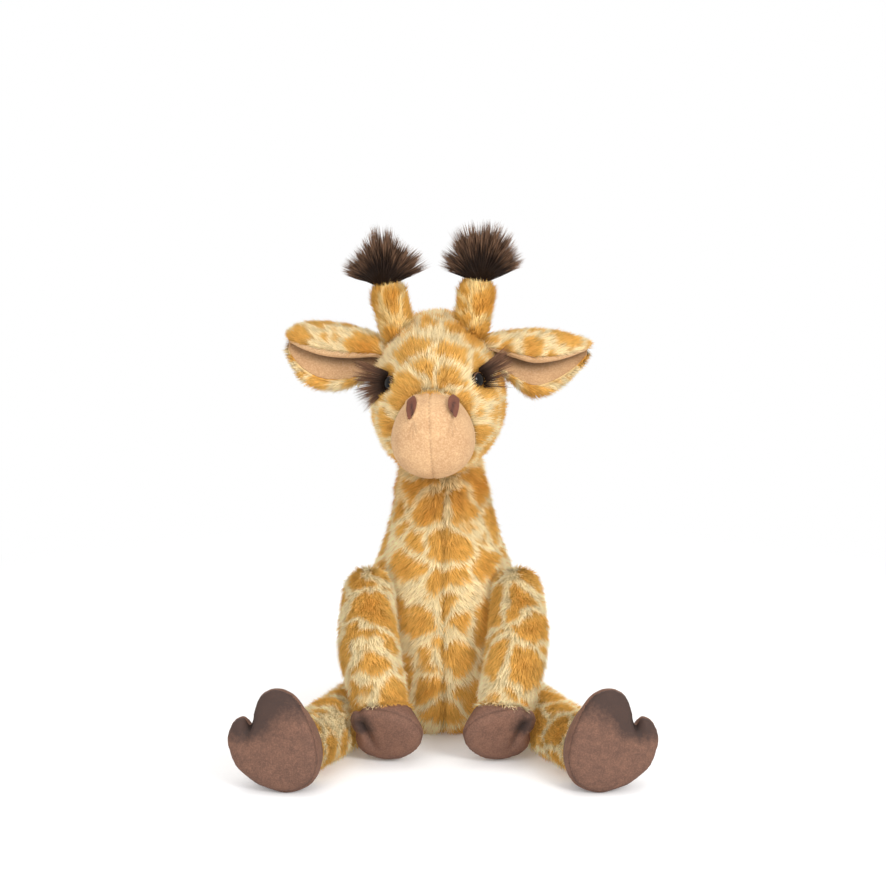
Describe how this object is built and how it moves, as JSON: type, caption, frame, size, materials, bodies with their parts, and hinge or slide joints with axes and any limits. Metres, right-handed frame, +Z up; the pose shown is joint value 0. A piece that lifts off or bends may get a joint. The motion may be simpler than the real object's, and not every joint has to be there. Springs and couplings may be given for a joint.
{
  "type": "plush giraffe",
  "caption": "Seated plush giraffe with a patched pile coat, velour muzzle and hooves, dark horn tufts and floppy head, ears, limbs and tail.",
  "frame": {"origin": "on the floor under the seat, in the middle of the torso's flat base", "axes": "+Z up, the toy faces -Y, and +X is to the toy's own left"},
  "size_m": [0.24, 0.2287, 0.304],
  "materials": {
    "patched_pile": "matte",
    "dark_pile": "satin",
    "peach_velour": "matte",
    "brown_velour": "matte",
    "mauve_velour": "matte",
    "polyester_fill": "matte",
    "pouch_cloth": "matte",
    "black_plastic": "gloss",
    "washer_plastic": "matte"
  },
  "bodies": {
    "torso": {"torso_front_left": "patched_pile", "torso_front_right": "patched_pile", "torso_back": "patched_pile", "torso_stuffing": "polyester_fill", "bead_pouch": "pouch_cloth"},
    "head": {"head_gusset": "patched_pile", "head_stuffing": "polyester_fill", "head_side_left": "patched_pile", "head_side_right": "patched_pile", "muzzle_left": "peach_velour", "muzzle_right": "peach_velour", "nostril_left": "brown_velour", "nostril_right": "brown_velour", "eye_left": "black_plastic", "eye_right": "black_plastic", "eye_washer_left": "washer_plastic", "eye_washer_right": "washer_plastic", "eyelash_left": "dark_pile", "eyelash_right": "dark_pile", "horn_skin_left": "patched_pile", "horn_skin_right": "patched_pile", "horn_stuffing_left": "polyester_fill", "horn_stuffing_right": "polyester_fill", "horn_tuft_left": "dark_pile", "horn_tuft_right": "dark_pile"},
    "ear_left": {"ear_back_left": "patched_pile", "ear_lining_left": "peach_velour"},
    "ear_right": {"ear_back_right": "patched_pile", "ear_lining_right": "peach_velour"},
    "arm_left": {"arm_skin_left": "patched_pile", "arm_stuffing_left": "polyester_fill", "hand_hoof_left": "mauve_velour", "hand_sole_left": "mauve_velour"},
    "arm_right": {"arm_skin_right": "patched_pile", "arm_stuffing_right": "polyester_fill", "hand_hoof_right": "mauve_velour", "hand_sole_right": "mauve_velour"},
    "leg_left": {"leg_skin_left": "patched_pile", "leg_stuffing_left": "polyester_fill", "foot_hoof_left": "mauve_velour", "foot_sole_left": "mauve_velour"},
    "leg_right": {"leg_skin_right": "patched_pile", "leg_stuffing_right": "polyester_fill", "foot_hoof_right": "mauve_velour", "foot_sole_right": "mauve_velour"},
    "tail": {"tail_skin": "patched_pile", "tail_tuft": "dark_pile"}
  },
  "joints": [
    {"name": "head_nod", "type": "hinge", "parent": "torso", "child": "head", "pos_m": [0, 0, 0.15], "axis": [0.9962, -0.0697, 0.0523], "range_deg": [-25, 30], "stiffness_Nm_per_rad": 0.3},
    {"name": "left_ear_flop", "type": "hinge", "parent": "head", "child": "ear_left", "pos_m": [0.03869, -0.00471, 0.22514], "axis": [0.0698, 0.9976, 0], "range_deg": [-25, 35], "stiffness_Nm_per_rad": 0.02},
    {"name": "right_ear_flop", "type": "hinge", "parent": "head", "child": "ear_right", "pos_m": [-0.04659, 0.00125, 0.22066], "axis": [-0.0698, -0.9976, 0], "range_deg": [-25, 35], "stiffness_Nm_per_rad": 0.02},
    {"name": "left_arm_lift", "type": "hinge", "parent": "torso", "child": "arm_left", "pos_m": [0.0445, -0.03361, 0.08655], "axis": [-0.9781, 0, 0.208], "range_deg": [0, 90]},
    {"name": "right_arm_lift", "type": "hinge", "parent": "torso", "child": "arm_right", "pos_m": [-0.0445, -0.03361, 0.08655], "axis": [-0.9781, 0, -0.208], "range_deg": [0, 90]},
    {"name": "left_leg_lift", "type": "hinge", "parent": "torso", "child": "leg_left", "pos_m": [0.05152, -0.04254, 0.0155], "axis": [-0.6986, -0.2794, 0.6587], "range_deg": [0, 60]},
    {"name": "right_leg_lift", "type": "hinge", "parent": "torso", "child": "leg_right", "pos_m": [-0.05152, -0.04254, 0.0155], "axis": [-0.6986, 0.2794, -0.6587], "range_deg": [0, 60]},
    {"name": "tail_lift", "type": "hinge", "parent": "torso", "child": "tail", "pos_m": [0, 0.0496, 0.04995], "axis": [1, 0, 0], "range_deg": [0, 70]}
  ]
}
